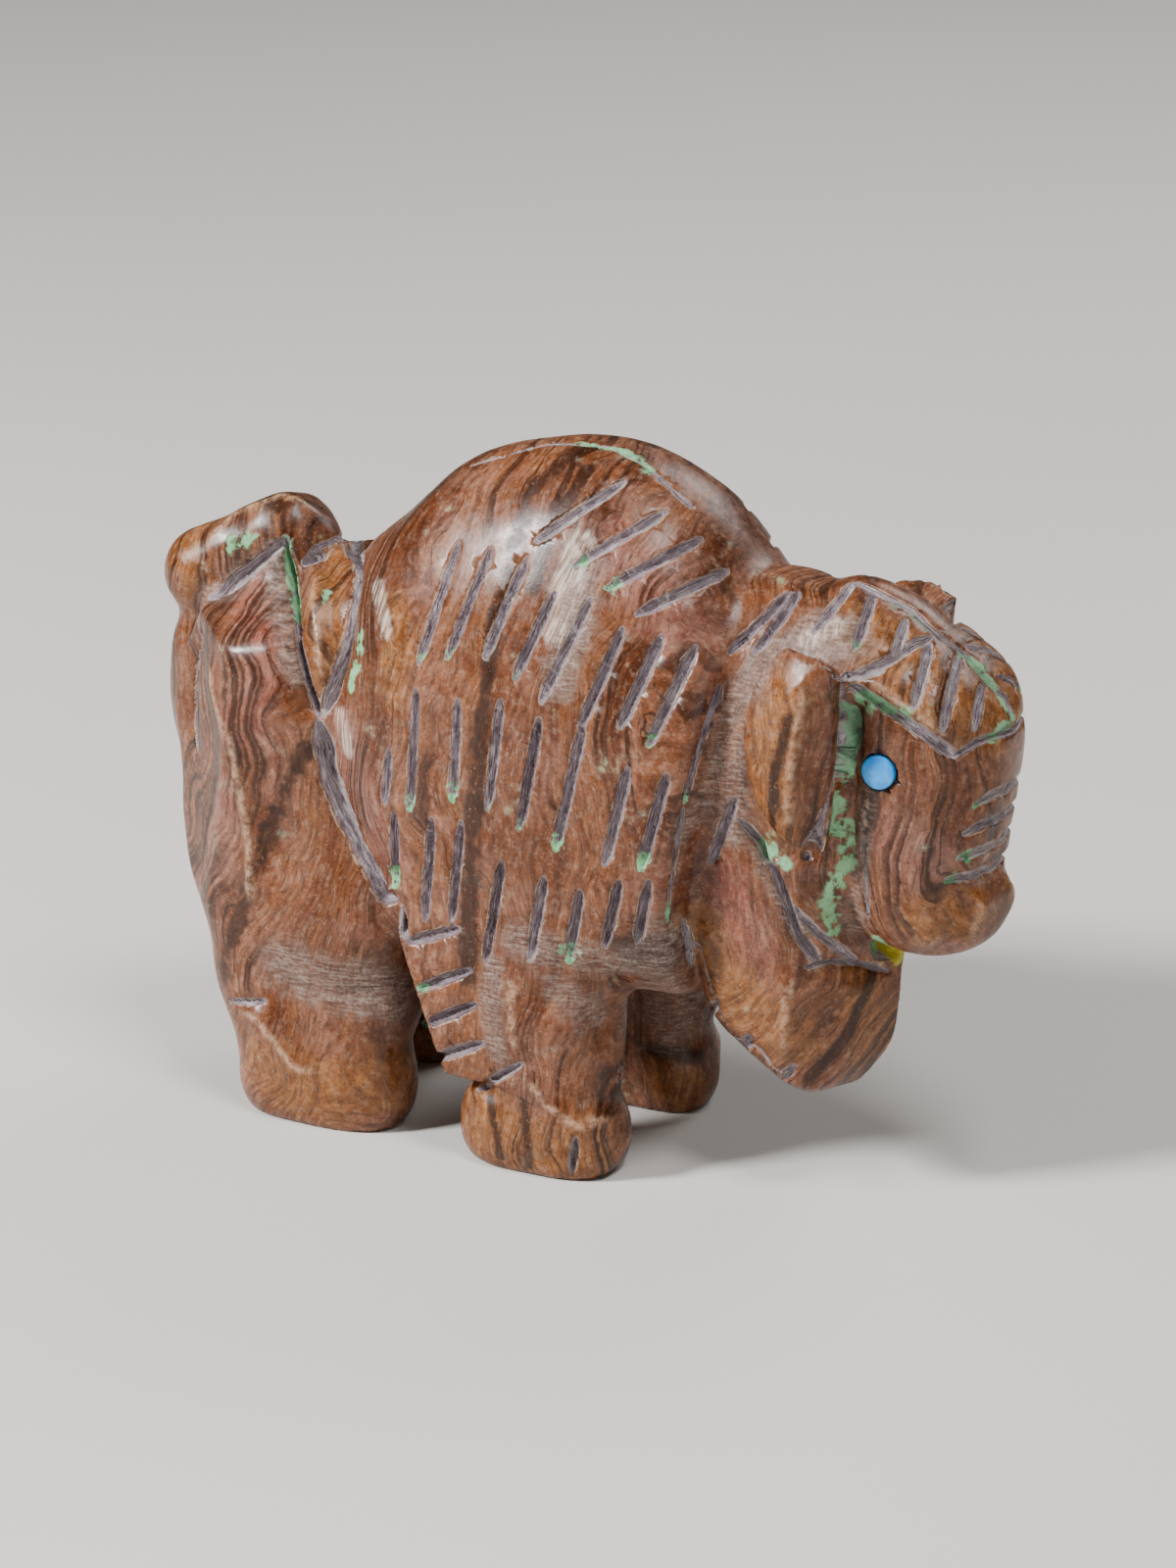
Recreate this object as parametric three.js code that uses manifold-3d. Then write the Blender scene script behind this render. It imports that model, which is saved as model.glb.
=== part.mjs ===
// A small stone bison with inlaid eyes, carved in one piece and standing on its four feet.
// Millimetres, +Z up, the head towards +X and the animal's right side towards -Y.
import * as THREE from 'three';
import { mergeVertices } from 'three/addons/utils/BufferGeometryUtils.js';
import Module from 'manifold-3d';

// The mesh of the stone: the size of a cell, and the box that it is found in.
const CELL = 1.68;
const GRID_LOW = [-38, -14.5, -4];
const GRID_HIGH = [37, 14.5, 55];

// The back, read along the body: its height and half its width at each station.
const STATIONS = [-27, -18.8, -14.3, -9.5, -3, 4, 9.5, 13.5, 16.5];
const BACK_HEIGHTS = [39.0, 40.9, 44.4, 48.7, 51.2, 51.4, 48.9, 44.6, 40.8];
const HALF_WIDTHS = [9.0, 9.3, 10.2, 11.0, 11.7, 11.8, 11.4, 10.5, 9.6];
const WIDEST_HEIGHT = 27;
const BELLY_HEIGHT = 13;
const BACK_SQUARENESS = 2.15;
const BELLY_SQUARENESS = 3;
const TRUNK_FRONT = { at: [12, 0, 20], facing: [1, 0, -0.15] };
const TRUNK_REAR = { at: [-25, 0, 20], facing: [-1, 0, 0] };

// Rounded masses: a centre, three radii and how square they are (2 is an ellipsoid).
const THIGH = { centre: [-22, 4.4, 25.5], radii: [8.7, 6.4, 15], squareness: 2.4 };
const SEAT = { centre: [-23, 0, 27.5], radii: [7.6, 6, 11.5], squareness: 2.4 };
const TAIL_TUFT = { centre: [-30, -2.2, 30], radii: [2.9, 3.2, 6.6], squareness: 2.2 };
const NECK = { centre: [15.5, 0, 30], radii: [8.5, 8.8, 14.2], squareness: 2.3 };
const SKULL = { centre: [24, 0, 35], radii: [9.2, 7.6, 9.7], squareness: 2.4 };
const SNOUT = { centre: [25.4, 0, 27.6], radii: [7.2, 6.9, 8.6], squareness: 2.6 };
const LIPS = { centre: [27.6, 0, 21.9], radii: [4.7, 5.4, 3.4], squareness: 2.3 };

// The horns lie against the sides of the head: a long ball each, cut flat in front, on top and in
// front of the ridge down its outer side.
const HORN = { centre: [22.4, 8.3, 35.0], radii: [5.6, 2.9, 7.8] };
const HORN_LEAN = 5;
const HORN_CUTS = [
  { at: [23.7, 9.5, 36], facing: [1, 0, -0.08] },
  { at: [22.6, 9.8, 41.5], facing: [0.35, -0.6, 1] },
  { at: [20.7, 10.7, 35.5], facing: [0.4, 1, -0.1] },
];
const HORN_SIDES = 24;
const HORN_RINGS = 18;

// Each leg from the shoulder or hip down to its foot.
const LEG_SQUARENESS = 2.7;
const LEGS = [
  [[[1.0, -7.2, 14], [5.2, 4.1, 9]], [[1.6, -7.4, 8.5], [4.6, 3.7, 6]], [[0.6, -7.6, 2.8], [6.3, 3.8, 4.0]]],
  [[[2.8, 7.0, 14], [4.6, 4.0, 9]], [[2.2, 6.9, 8.5], [3.6, 3.4, 6]], [[1.7, 6.7, 2.8], [5.1, 3.4, 4.2]]],
  [[[-18.4, -6.6, 13], [8.4, 4.3, 9]], [[-18.4, -6.8, 8], [6.9, 3.8, 6]],
    [[-17.8, -6.9, 3.2], [6.8, 3.9, 4.8]]],
  [[[-19.6, 6.6, 13], [7.8, 4.2, 9]], [[-20.0, 6.8, 8], [6.0, 3.7, 6]], [[-20.0, 6.9, 3.2], [6.1, 3.7, 4.8]]],
];

// The tail lies over the rump and sticks out behind: the ends of its two stretches, with their radii.
const TAIL_ROOT = { at: [-20.2, -1.0, 39.4], radius: 2.6 };
const TAIL_BEND = { at: [-23.8, -1.4, 40.6], radius: 3.7 };
const TAIL_END = { at: [-29.8, -2.4, 38.4], radius: 3.3 };

// Flat cuts that the carver left, each by a point on it and the way it faces. Both sides of the
// animal have them.
const THIGH_CUTS = [
  { at: [-27.4, 8.0, 25], facing: [-0.75, 1, 0.05] },
  { at: [-22, 10.3, 25], facing: [0.02, 1, -0.08] },
  { at: [-22, 8.5, 37], facing: [-0.15, 0.8, 1] },
];
const BEARD_CUTS = [
  { at: [15, 7.2, 18], facing: [-0.05, 1, -0.1] },
  { at: [19.3, 7.2, 14], facing: [0.85, 1, -0.12] },
  { at: [24.6, 0, 13], facing: [1, 0.45, -0.1] },
  { at: [23.1, 0, 9.1], facing: [1.35, 0.3, -1] },
  { at: [20, 0, 6.9], facing: [0, 0.2, -1] },
  { at: [13, 0, 10], facing: [-0.8, 0, -1] },
  { at: [9.8, 0, 17], facing: [-1, 0, -0.35] },
  { at: [20, 0, 26], facing: [0, 0, 1] },
  { at: [12.5, 7.2, 18.4], facing: [-0.95, 0.8, -0.31] },
  { at: [14.1, 7.2, 13.5], facing: [-0.57, 0.8, -0.82] },
];
const FOREHEAD_SLOPE = { at: [29.6, 0, 40], facing: [0.8, 0, 1] };
const FOREHEAD_SHOULDER = { at: [27, 4.2, 41.6], facing: [0.35, 0.8, 1] };
const NOSE_FRONT = { at: [32.9, 0, 31], facing: [1, 0, -0.23] };
const CHEEK = { at: [26, 6.9, 30], facing: [0.06, 1, 0.02] };
const FACE_CORNER = { at: [30.4, 5.4, 30], facing: [1, 0.95, -0.1] };
const JAW = { at: [21.2, 0, 19], facing: [-1, 0, -0.68] };

// The fringe of hair behind each front leg: a thin plate, by its outline from the side.
const FRINGE_OUTLINE = [[-9.4, 15.5], [-5.8, 6.4], [2, 6.1], [2, 20], [-9.4, 20]];
const FRINGE_INNER = 8.3;
const FRINGE_OUTER = 11.2;

// The arched way between the left and right legs.
const ARCH = { half: 3.2, spring: 5, rise: 7, front: 9.5 };

// How far each join, and the edge of each flat cut, is rounded into what it meets.
const ROUNDING = {
  trunkFront: 1.2,
  trunkRear: 3,
  thighCuts: 0.6,
  thigh: 1.5,
  legLevels: 0.8,
  legs: 1.6,
  seat: 1.5,
  tailBend: 1,
  tail: 1,
  tailTuft: 1.5,
  neck: 1,
  beardCuts: 1.4,
  beard: 1,
  foreheadSlope: 2.5,
  foreheadShoulder: 2,
  snout: 2,
  noseFront: 1,
  cheek: 1.2,
  jaw: 0.8,
  lips: 0.8,
  head: 0.6,
  arch: 1.2,
};

// The eyes: turquoise discs let into the cheeks.
const EYE_AT = [26, 6.95, 33.1];
const EYE_RADIUS = 1.2;
const EYE_DEPTH = 1.3;
const EYE_GAP = 0.25;
const EYE_DOME = 0.12;
const SOCKET_RISE = 1;
const EYE_SIDES = 24;

function smoothMin(a, b, reach) {
  const mix = Math.max(reach - Math.abs(a - b), 0) / reach;
  return Math.min(a, b) - mix * mix * reach / 4;
}

function smoothMax(a, b, reach) {
  return -smoothMin(-a, -b, reach);
}

// Distance to a flat cut: above zero on the side it faces.
function cut({ at, facing }, p) {
  const length = Math.hypot(...facing);
  return facing.reduce((sum, part, i) => sum + part * (p[i] - at[i]), 0) / length;
}

function chisel(cuts, p, reach) {
  return cuts.map((one) => cut(one, p)).reduce((a, b) => smoothMax(a, b, reach));
}

// Distance to a rounded mass.
const NEARLY_ZERO = 1e-9;
function mass({ centre, radii, squareness }, p) {
  const share = p.map((value, i) => Math.abs(value - centre[i]) / radii[i] + NEARLY_ZERO);
  const size = share.reduce((sum, value) => sum + value ** squareness, 0) ** (1 / squareness);
  const slope = Math.hypot(...share.map((value, i) => (value / size) ** (squareness - 1) / radii[i]));
  return (size - 1) / slope;
}

function bar(start, end, p) {
  const a = new THREE.Vector3(...start.at);
  const along = new THREE.Vector3(...end.at).sub(a);
  const offset = new THREE.Vector3(...p).sub(a);
  const t = THREE.MathUtils.clamp(offset.dot(along) / along.lengthSq(), 0, 1);
  const radius = THREE.MathUtils.lerp(start.radius, end.radius, t);
  return offset.addScaledVector(along, -t).length() - radius;
}

// A smooth line through the stations (cubic, with each slope the mean of its neighbours').
function alongBody(values, x) {
  const last = STATIONS.length - 1;
  const steps = STATIONS.slice(1).map((place, i) => (values[i + 1] - values[i]) / (place - STATIONS[i]));
  const slope = (i) => (steps[Math.max(i - 1, 0)] + steps[Math.min(i, last - 1)]) / 2;
  const inside = THREE.MathUtils.clamp(x, STATIONS[0], STATIONS[last]);
  const i = Math.min(Math.max(STATIONS.findIndex((place) => place >= inside) - 1, 0), last - 1);
  const width = STATIONS[i + 1] - STATIONS[i];
  const t = (inside - STATIONS[i]) / width;
  return (1 + 2 * t) * (1 - t) ** 2 * values[i] + t * (1 - t) ** 2 * width * slope(i)
    + t * t * (3 - 2 * t) * values[i + 1] + t * t * (t - 1) * width * slope(i + 1);
}

function trunk(p) {
  const above = p[2] > WIDEST_HEIGHT;
  const half = alongBody(HALF_WIDTHS, p[0]);
  const tall = above ? alongBody(BACK_HEIGHTS, p[0]) - WIDEST_HEIGHT : WIDEST_HEIGHT - BELLY_HEIGHT;
  const squareness = above ? BACK_SQUARENESS : BELLY_SQUARENESS;
  const across = Math.abs(p[1]) / half + NEARLY_ZERO;
  const up = Math.abs(p[2] - WIDEST_HEIGHT) / tall + NEARLY_ZERO;
  const size = (across ** squareness + up ** squareness) ** (1 / squareness);
  const lean = (share, reach) => (share / size) ** (squareness - 1) / reach;
  const slope = Math.hypot(lean(across, half), lean(up, tall));
  const cutInFront = smoothMax((size - 1) / slope, cut(TRUNK_FRONT, p), ROUNDING.trunkFront);
  return smoothMax(cutInFront, cut(TRUNK_REAR, p), ROUNDING.trunkRear);
}

function thigh(folded) {
  const carve = (d, one) => smoothMax(d, cut(one, folded), ROUNDING.thighCuts);
  return THIGH_CUTS.reduce(carve, mass(THIGH, folded));
}

function leg(levels, p) {
  return levels
    .map(([centre, radii]) => mass({ centre, radii, squareness: LEG_SQUARENESS }, p))
    .reduce((a, b) => smoothMin(a, b, ROUNDING.legLevels));
}

function head(p, folded) {
  let skull = smoothMax(mass(SKULL, p), cut(FOREHEAD_SLOPE, p), ROUNDING.foreheadSlope);
  skull = smoothMax(skull, cut(FOREHEAD_SHOULDER, folded), ROUNDING.foreheadShoulder);
  let d = smoothMin(skull, mass(SNOUT, p), ROUNDING.snout);
  d = smoothMax(d, cut(NOSE_FRONT, p), ROUNDING.noseFront);
  d = smoothMax(d, cut(CHEEK, folded), ROUNDING.cheek);
  d = smoothMax(d, cut(FACE_CORNER, folded), ROUNDING.cheek);
  d = smoothMax(d, cut(JAW, p), ROUNDING.jaw);
  return smoothMin(d, mass(LIPS, p), ROUNDING.lips);
}

function arch(p) {
  const up = Math.max(p[2] - ARCH.spring, 0) / ARCH.rise;
  const across = ARCH.half * (Math.hypot(p[1] / ARCH.half, up) - 1);
  return Math.max(across, p[0] - ARCH.front);
}

// The stone without its horns and fringes: below zero inside it.
function stone(p) {
  const folded = [p[0], Math.abs(p[1]), p[2]];
  const tail = smoothMin(bar(TAIL_ROOT, TAIL_BEND, p), bar(TAIL_BEND, TAIL_END, p), ROUNDING.tailBend);
  let d = smoothMin(trunk(p), thigh(folded), ROUNDING.thigh);
  d = smoothMin(d, Math.min(...LEGS.map((levels) => leg(levels, p))), ROUNDING.legs);
  d = smoothMin(d, mass(SEAT, p), ROUNDING.seat);
  d = smoothMin(d, tail, ROUNDING.tail);
  d = smoothMin(d, mass(TAIL_TUFT, p), ROUNDING.tailTuft);
  d = smoothMin(d, mass(NECK, p), ROUNDING.neck);
  d = smoothMin(d, chisel(BEARD_CUTS, folded, ROUNDING.beardCuts), ROUNDING.beard);
  d = smoothMin(d, head(p, folded), ROUNDING.head);
  return smoothMax(d, -arch(p), ROUNDING.arch);
}

// The surface of the stone as a closed mesh: one vertex in each cell that the surface passes
// through, and two triangles across each edge of the grid that it crosses.
function surfaceOf(form) {
  const count = GRID_LOW.map((low, i) => Math.ceil((GRID_HIGH[i] - low) / CELL) + 1);
  const place = (cell) => cell.map((value, i) => GRID_LOW[i] + value * CELL);
  const index = ([i, j, k]) => (i * count[1] + j) * count[2] + k;
  const values = new Float64Array(count[0] * count[1] * count[2]);
  const eachCell = (visit) => {
    for (let i = 0; i < count[0]; i += 1) {
      for (let j = 0; j < count[1]; j += 1) {
        for (let k = 0; k < count[2]; k += 1) visit([i, j, k]);
      }
    }
  };
  const inside = (cell) => values[index(cell)] < 0;
  const stepped = (cell, axis, by = 1) => cell.with(axis, cell[axis] + by);
  const corners = [0, 1, 2, 3, 4, 5, 6, 7].map((n) => [n & 1, (n >> 1) & 1, n >> 2]);
  const edges = corners.flatMap((corner) => [0, 1, 2].filter((axis) => corner[axis] === 0)
    .map((axis) => [corner, stepped(corner, axis), axis]));
  eachCell((cell) => {
    values[index(cell)] = form(place(cell));
  });

  const vertexOf = new Map();
  const positions = [];
  eachCell((cell) => {
    if (cell.some((value, i) => value >= count[i] - 1)) return;
    const sum = [0, 0, 0];
    let crossings = 0;
    edges.forEach(([from, to, axis]) => {
      const a = cell.map((value, i) => value + from[i]);
      const b = cell.map((value, i) => value + to[i]);
      if (inside(a) === inside(b)) return;
      const share = values[index(a)] / (values[index(a)] - values[index(b)]);
      a.forEach((value, i) => {
        sum[i] += value + (i === axis ? share : 0);
      });
      crossings += 1;
    });
    if (crossings === 0) return;
    vertexOf.set(index(cell), positions.length / 3);
    positions.push(...place(sum.map((value) => value / crossings)));
  });

  const triangles = [];
  eachCell((cell) => {
    [0, 1, 2].forEach((axis) => {
      const [u, v] = [(axis + 1) % 3, (axis + 2) % 3];
      if (cell[axis] >= count[axis] - 1 || cell[u] === 0 || cell[v] === 0) return;
      if (inside(cell) === inside(stepped(cell, axis))) return;
      const around = [stepped(stepped(cell, u, -1), v, -1), stepped(cell, v, -1), cell, stepped(cell, u, -1)];
      const [a, b, c, d] = around.map((one) => vertexOf.get(index(one)));
      triangles.push(...(inside(cell) ? [a, b, c, a, c, d] : [a, c, b, a, d, c]));
    });
  });
  const geometry = new THREE.BufferGeometry();
  geometry.setAttribute('position', new THREE.Float32BufferAttribute(positions, 3));
  geometry.setIndex(triangles);
  return geometry;
}

const wasm = await Module();
wasm.setup();

function toSolid(geometry) {
  const bare = geometry.clone();
  bare.deleteAttribute('normal');
  bare.deleteAttribute('uv');
  const merged = mergeVertices(bare);
  return new wasm.Manifold(new wasm.Mesh({
    numProp: 3,
    vertProperties: new Float32Array(merged.attributes.position.array),
    triVerts: new Uint32Array(merged.index.array),
  }));
}

function toGeometry(solid) {
  const mesh = solid.getMesh();
  const geometry = new THREE.BufferGeometry();
  geometry.setAttribute('position', new THREE.BufferAttribute(mesh.vertProperties, 3));
  geometry.setIndex(new THREE.BufferAttribute(mesh.triVerts, 1));
  return geometry;
}

// A disc that faces out of the cheek, with its middle on the cheek's surface. Side is -1 on the
// animal's right and 1 on its left.
function eyeDisc(side, radius, depth, dome) {
  const rim = 2;
  const face = Array.from({ length: rim + 1 }, (_, i) => {
    const out = i / rim;
    return new THREE.Vector2(radius * out, dome * (1 - out * out));
  });
  const profile = [new THREE.Vector2(0, -depth), new THREE.Vector2(radius, -depth), ...face.reverse()];
  const disc = new THREE.LatheGeometry(profile, EYE_SIDES);
  const facing = new THREE.Vector3(CHEEK.facing[0], side * CHEEK.facing[1], CHEEK.facing[2]).normalize();
  disc.applyQuaternion(new THREE.Quaternion().setFromUnitVectors(new THREE.Vector3(0, 1, 0), facing));
  return disc.translate(EYE_AT[0], side * EYE_AT[1], EYE_AT[2]);
}

// One horn: the long ball with what lies beyond its flat cuts pressed back onto them.
function hornGeometry(side) {
  const horn = new THREE.SphereGeometry(1, HORN_SIDES, HORN_RINGS).scale(...HORN.radii);
  horn.rotateY(THREE.MathUtils.degToRad(HORN_LEAN)).translate(...HORN.centre);
  const place = horn.attributes.position;
  for (let i = 0; i < place.count; i += 1) {
    let p = [place.getX(i), place.getY(i), place.getZ(i)];
    HORN_CUTS.forEach((one) => {
      const beyond = Math.max(cut(one, p), 0) / Math.hypot(...one.facing);
      p = p.map((value, axis) => value - beyond * one.facing[axis]);
    });
    place.setXYZ(i, ...p);
  }
  return side > 0 ? horn : mirrored(horn);
}

function mirrored(geometry) {
  geometry.scale(1, -1, 1);
  const order = geometry.index.array;
  for (let i = 0; i < order.length; i += 3) {
    [order[i], order[i + 1]] = [order[i + 1], order[i]];
  }
  return geometry;
}

function fringeGeometry(side) {
  const outline = new THREE.Shape(FRINGE_OUTLINE.map(([x, z]) => new THREE.Vector2(x, z)));
  const depth = FRINGE_OUTER - FRINGE_INNER;
  const plate = new THREE.ExtrudeGeometry(outline, { depth, bevelEnabled: false });
  plate.rotateX(Math.PI / 2);
  return plate.translate(0, side > 0 ? FRINGE_OUTER : -FRINGE_INNER, 0);
}

function carvedStone() {
  const slab = { width: 200, thickness: 20 };
  const below = new THREE.BoxGeometry(slab.width, slab.width, slab.thickness);
  below.translate(0, 0, -slab.thickness / 2);
  let solid = toSolid(surfaceOf(stone)).subtract(toSolid(below));
  [-1, 1].forEach((side) => {
    solid = solid.add(toSolid(hornGeometry(side))).add(toSolid(fringeGeometry(side)));
    solid = solid.subtract(toSolid(eyeDisc(side, EYE_RADIUS + EYE_GAP, EYE_DEPTH + EYE_GAP, SOCKET_RISE)));
  });
  return toGeometry(solid);
}

const stoneMaterial = new THREE.MeshStandardMaterial({ color: 0x8f6a50, roughness: 0.35, metalness: 0 });
const turquoise = { color: 0x5fb4e0, roughness: 0.3, metalness: 0 };

function named(name, geometry, material) {
  const mesh = new THREE.Mesh(geometry, material);
  mesh.name = name;
  return mesh;
}

const bison = named('bison', carvedStone(), stoneMaterial);
const rightEye = named('right_eye_inlay', eyeDisc(-1, EYE_RADIUS, EYE_DEPTH, EYE_DOME),
  new THREE.MeshStandardMaterial(turquoise));
const leftEye = named('left_eye_inlay', eyeDisc(1, EYE_RADIUS, EYE_DEPTH, EYE_DOME),
  new THREE.MeshStandardMaterial(turquoise));

// The middle of the box on the ground is the origin.
bison.geometry.computeBoundingBox();
const middle = bison.geometry.boundingBox.getCenter(new THREE.Vector3());
const group = new THREE.Group();
group.add(bison, rightEye, leftEye);
group.children.forEach((mesh) => mesh.geometry.translate(-middle.x, -middle.y, 0));

export default group;
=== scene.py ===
"""The visible model of a small stone bison: the carved stone with its engraved hair, and its two
turquoise eyes. Lengths are millimetres until the meshes are made."""
import bpy
import numpy as np
from mathutils import Matrix, Vector


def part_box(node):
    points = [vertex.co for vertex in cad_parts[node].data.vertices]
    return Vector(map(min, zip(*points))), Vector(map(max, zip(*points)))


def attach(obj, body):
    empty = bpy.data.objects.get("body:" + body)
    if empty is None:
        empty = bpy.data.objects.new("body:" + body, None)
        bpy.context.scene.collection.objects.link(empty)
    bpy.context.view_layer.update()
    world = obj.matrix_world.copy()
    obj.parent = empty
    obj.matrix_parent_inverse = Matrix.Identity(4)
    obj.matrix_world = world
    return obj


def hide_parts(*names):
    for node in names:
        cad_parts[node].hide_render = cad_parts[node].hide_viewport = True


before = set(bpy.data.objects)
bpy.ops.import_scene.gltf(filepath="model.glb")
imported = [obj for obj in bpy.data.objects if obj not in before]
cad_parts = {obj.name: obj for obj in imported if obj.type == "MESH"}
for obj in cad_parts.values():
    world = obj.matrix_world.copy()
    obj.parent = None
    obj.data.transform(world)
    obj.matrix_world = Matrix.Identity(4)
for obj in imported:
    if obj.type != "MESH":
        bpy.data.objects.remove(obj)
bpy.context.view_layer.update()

# FORM BEGINS
# The back, read along the body: its height and half its width at each station.
STATIONS = (-27, -18.8, -14.3, -9.5, -3, 4, 9.5, 13.5, 16.5)
BACK_HEIGHTS = (39.0, 40.9, 44.4, 48.7, 51.2, 51.4, 48.9, 44.6, 40.8)
HALF_WIDTHS = (9.0, 9.3, 10.2, 11.0, 11.7, 11.8, 11.4, 10.5, 9.6)
WIDEST_HEIGHT = 27
BELLY_HEIGHT = 13
BACK_SQUARENESS = 2.15
BELLY_SQUARENESS = 3.0
TRUNK_FRONT = ((12, 0, 20), (1, 0, -0.15))
TRUNK_REAR = ((-25, 0, 20), (-1, 0, 0))

# Rounded masses: a centre, three radii and how square they are (2 is an ellipsoid).
THIGH = ((-22, 4.4, 25.5), (8.7, 7.0, 15), 2.4)
SEAT = ((-23, 0, 27.5), (7.6, 6, 11.5), 2.4)
TAIL_TUFT = ((-30, -2.2, 30), (2.9, 3.2, 6.6), 2.2)
NECK = ((15.5, 0, 30), (8.5, 8.1, 14.2), 2.3)
SKULL = ((24, 0, 35), (9.2, 7.6, 9.7), 2.4)
SNOUT = ((25.4, 0, 27.6), (7.2, 6.9, 8.6), 2.6)
LIPS = ((27.6, 0, 21.9), (4.7, 5.4, 3.4), 2.3)

# The horns lie against the sides of the head: a long ball each, cut flat in front and on top.
HORN_CENTRE = (22.4, 8.3, 35.0)
HORN_RADII = (5.6, 3.0, 7.8)
HORN_LEAN = 5
HORN_CUTS = (
    ((23.7, 9.5, 36), (1, 0, -0.08)),
    ((22.6, 9.8, 41.5), (0.35, -0.6, 1)),
    ((20.7, 10.7, 35.5), (0.4, 1, -0.1)),
)
# The hollow that is sunk round each horn: how wide, and how far its floor is from the middle.
HORN_HOLLOW_WIDTH = 1.5
HORN_HOLLOW_FLOOR = 8.0

# Each leg from the shoulder or hip down to its foot: near front, far front, near hind, far hind.
LEG_SQUARENESS = 2.7
LEGS = (
    (((1.0, -7.2, 14), (5.2, 4.1, 9)), ((1.6, -7.4, 8.5), (4.6, 3.7, 6)), ((0.6, -7.6, 2.8), (6.3, 3.8, 4.0))),
    (((2.8, 7.0, 14), (4.6, 4.0, 9)), ((2.2, 6.9, 8.5), (3.6, 3.4, 6)), ((1.7, 6.7, 2.8), (5.1, 3.4, 4.2))),
    (((-18.4, -6.6, 13), (8.4, 4.3, 9)), ((-18.4, -6.8, 8), (6.9, 3.8, 6)), ((-17.8, -6.9, 3.2), (6.8, 3.9, 4.8))),
    (((-19.6, 6.6, 13), (7.8, 4.2, 9)), ((-20.0, 6.8, 8), (6.0, 3.7, 6)), ((-20.0, 6.9, 3.2), (6.1, 3.7, 4.8))),
)

# The tail lies over the rump and sticks out behind: three points on it and its radius at each.
TAIL = (((-20.2, -1.0, 39.4), 2.6), ((-23.8, -1.4, 40.6), 3.7), ((-29.8, -2.4, 38.4), 3.3))

# Flat cuts that the carver left, each by a point on it and the way it faces.
THIGH_CUTS = (
    ((-27.4, 8.0, 25), (-0.75, 1, 0.05)),
    ((-22, 10.3, 25), (0.02, 1, -0.08)),
    ((-22, 8.5, 37), (-0.15, 0.8, 1)),
)
BEARD_CUTS = (
    ((15, 7.2, 18), (-0.05, 1, -0.1)),
    ((19.3, 7.2, 14), (0.85, 1, -0.12)),
    ((24.6, 0, 13), (1, 0.45, -0.1)),
    ((23.1, 0, 9.1), (1.35, 0.3, -1)),
    ((20, 0, 6.9), (0, 0.2, -1)),
    ((13, 0, 10), (-0.8, 0, -1)),
    ((9.8, 0, 17), (-1, 0, -0.35)),
    ((20, 0, 26), (0, 0, 1)),
    ((12.5, 7.2, 18.4), (-0.95, 0.8, -0.31)),
    ((14.1, 7.2, 13.5), (-0.57, 0.8, -0.82)),
)
FOREHEAD_SLOPE = ((29.6, 0, 40), (0.8, 0, 1))
FOREHEAD_SHOULDER = ((27, 4.2, 41.6), (0.35, 0.8, 1))
NOSE_FRONT = ((32.9, 0, 31), (1, 0, -0.23))
CHEEK = ((26, 6.9, 30), (0.06, 1, 0.02))
FACE_CORNER = ((30.4, 5.4, 30), (1, 0.95, -0.1))
JAW = ((21.2, 0, 19), (-1, 0, -0.68))
FRINGE_CUTS = (
    ((0, 11.2, 12), (0, 1, 0.02)),
    ((0, 8.3, 12), (0, -1, 0)),
    ((-9.4, 10, 15.5), (-1, 0, -0.4)),
    ((-4, 10, 6.4), (-0.05, 0, -1)),
    ((2, 10, 10), (1, 0, 0)),
    ((0, 10, 20), (0, 0, 1)),
)

# The arched way between the left and right legs.
ARCH_HALF = 3.2
ARCH_SPRING = 5
ARCH_RISE = 7
ARCH_FRONT = 9.5


def smooth_min(a, b, reach):
    mix = np.maximum(reach - np.abs(a - b), 0) / reach
    return np.minimum(a, b) - mix * mix * reach / 4


def smooth_max(a, b, reach):
    return -smooth_min(-a, -b, reach)


def flat_cut(points, cut):
    """Distance to a flat cut: above zero on the side it faces."""
    at, facing = np.array(cut, float)
    return (points - at) @ (facing / np.linalg.norm(facing))


def chisel(points, cuts, reach):
    distance = flat_cut(points, cuts[0])
    for cut in cuts[1:]:
        distance = smooth_max(distance, flat_cut(points, cut), reach)
    return distance


def mass(points, centre, radii, squareness=2.0):
    """Distance to a rounded mass."""
    radii = np.array(radii, float)
    share = np.abs(points - np.array(centre, float)) / radii + 1e-9
    size = (share ** squareness).sum(1) ** (1 / squareness)
    slope = np.linalg.norm((share / size[:, None]) ** (squareness - 1) / radii, axis=1)
    return (size - 1) / slope


def bar(points, start, end):
    (a, start_radius), (b, end_radius) = start, end
    a, along = np.array(a), np.array(b) - np.array(a)
    t = np.clip((points - a) @ along / (along @ along), 0, 1)
    return np.linalg.norm(points - a - t[:, None] * along, axis=1) - (start_radius + (end_radius - start_radius) * t)


def along_body(x, values):
    """A smooth line through the stations (cubic, with each slope the mean of its neighbours')."""
    places, values = np.array(STATIONS, float), np.array(values, float)
    steps = np.diff(values) / np.diff(places)
    slopes = np.concatenate([steps[:1], (steps[:-1] + steps[1:]) / 2, steps[-1:]])
    x = np.clip(x, places[0], places[-1])
    i = np.clip(np.searchsorted(places, x) - 1, 0, len(places) - 2)
    width = places[i + 1] - places[i]
    t = (x - places[i]) / width
    return ((1 + 2 * t) * (1 - t) ** 2 * values[i] + t * (1 - t) ** 2 * width * slopes[i]
            + t * t * (3 - 2 * t) * values[i + 1] + t * t * (t - 1) * width * slopes[i + 1])


def folded(points):
    """The points with the right side laid on the left."""
    return points * (1, 0, 1) + np.abs(points) * (0, 1, 0)


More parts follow.
